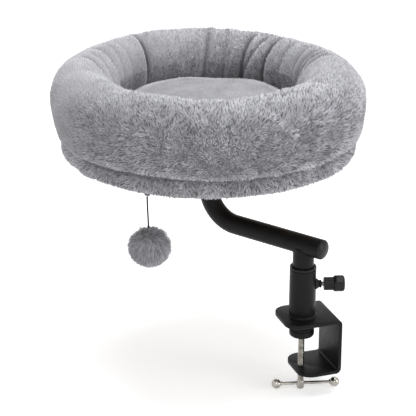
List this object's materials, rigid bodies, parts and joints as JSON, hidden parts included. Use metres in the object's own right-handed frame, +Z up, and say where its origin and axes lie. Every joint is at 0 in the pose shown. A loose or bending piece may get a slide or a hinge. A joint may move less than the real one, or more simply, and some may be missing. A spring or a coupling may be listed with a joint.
{
  "type": "cat desk bed",
  "caption": "Round plush pet bed with a raised bolster on a bent steel arm that turns in a screw clamp for a desk edge, with a hanging pompom toy.",
  "frame": {"origin": "on the sleeve's axis, where the clamp's upper rubber pad rests on the top of the desk", "axes": "+Z up along the sleeve; +X from the sleeve's axis to the bracket's back plate, so the desk's edge lies along Y and the desk is on the -X side"},
  "size_m": [0.3993, 0.3994, 0.4103],
  "materials": {
    "black_steel": "black satin powder coat",
    "black_plastic": "black, fine-textured moulding",
    "rubber": "black matt rubber",
    "nickel": "bright nickel plate",
    "zinc": "zinc-plated",
    "plywood": "bare plywood",
    "plush": "light grey long-pile plush",
    "short_plush": "light grey short-pile plush",
    "cord": "black braided cord",
    "tape": "dark woven tape"
  },
  "bodies": {
    "clamp": {"clamp_bracket": "black_steel", "jaw_pad": "rubber", "clamp_sleeve": "black_steel", "sleeve_liner": "black_plastic", "lock_boss": "black_steel"},
    "pressure_pad": {"pressure_cup": "black_steel", "pressure_face": "rubber"},
    "clamp_screw": {"clamp_screw": "nickel"},
    "tommy_bar": {"tommy_bar": "nickel", "tommy_ball_left": "nickel", "tommy_ball_right": "nickel"},
    "lock_stud": {"lock_stud": "nickel"},
    "lock_knob": {"lock_knob": "black_plastic"},
    "stub_plug": {"stub_plug": "black_plastic"},
    "arm": {"arm_stub": "black_steel", "arm_tube": "black_steel", "arm_end_cap": "black_plastic", "bed_flange": "black_steel", "flange_screw_1": "zinc", "flange_screw_2": "zinc", "flange_screw_3": "zinc", "flange_screw_4": "zinc", "tee_nut_1": "zinc", "tee_nut_2": "zinc", "tee_nut_3": "zinc", "tee_nut_4": "zinc", "base_board": "plywood", "base_cover": "plush", "bolster": "plush", "cushion": "short_plush", "toy_tab": "tape"},
    "toy_cord": {"toy_cord": "cord"},
    "toy_pompom": {"toy_pompom": "plush"}
  },
  "joints": [
    {"name": "pad_slide", "type": "slide", "parent": "clamp", "child": "pressure_pad", "axis": [0, 0, 1], "range_m": [-0.0414, 0.0116]},
    {"name": "screw_turn", "type": "hinge", "parent": "pressure_pad", "child": "clamp_screw", "pos_m": [0, 0, -0.05], "axis": [0, 0, 1], "range_deg": [-11880, 3312]},
    {"name": "bar_slide", "type": "slide", "parent": "clamp_screw", "child": "tommy_bar", "axis": [0.9694, -0.2453, 0], "range_m": [-0.032, 0.0188]},
    {"name": "lock_slide", "type": "slide", "parent": "clamp", "child": "lock_stud", "axis": [0.9563, -0.2924, 0], "range_m": [0, 0.00401]},
    {"name": "lock_turn", "type": "hinge", "parent": "lock_stud", "child": "lock_knob", "pos_m": [0, 0, 0.0483], "axis": [0.9563, -0.2924, 0], "range_deg": [0, 1440]},
    {"name": "arm_lift", "type": "slide", "parent": "clamp", "child": "stub_plug", "axis": [0, 0, 1], "range_m": [0, 0.03]},
    {"name": "arm_swivel", "type": "hinge", "parent": "stub_plug", "child": "arm", "pos_m": [0, 0, 0.1], "axis": [0, 0, 1], "continuous": true},
    {"name": "toy_swing", "type": "hinge", "parent": "arm", "child": "toy_cord", "pos_m": [-0.20264, -0.00079, 0.1914], "axis": [-0.6875, -0.7261, 0], "range_deg": [-45, 45]},
    {"name": "pompom_swing", "type": "hinge", "parent": "toy_cord", "child": "toy_pompom", "pos_m": [-0.20125, -0.00018, 0.1519], "axis": [0.7261, -0.6875, 0], "range_deg": [-40, 40]}
  ],
  "couplings": [
    {"joint": "pad_slide", "follows": "screw_turn", "m_per_rad": 0.00019894},
    {"joint": "lock_slide", "follows": "lock_turn", "m_per_rad": 0.00015915}
  ]
}
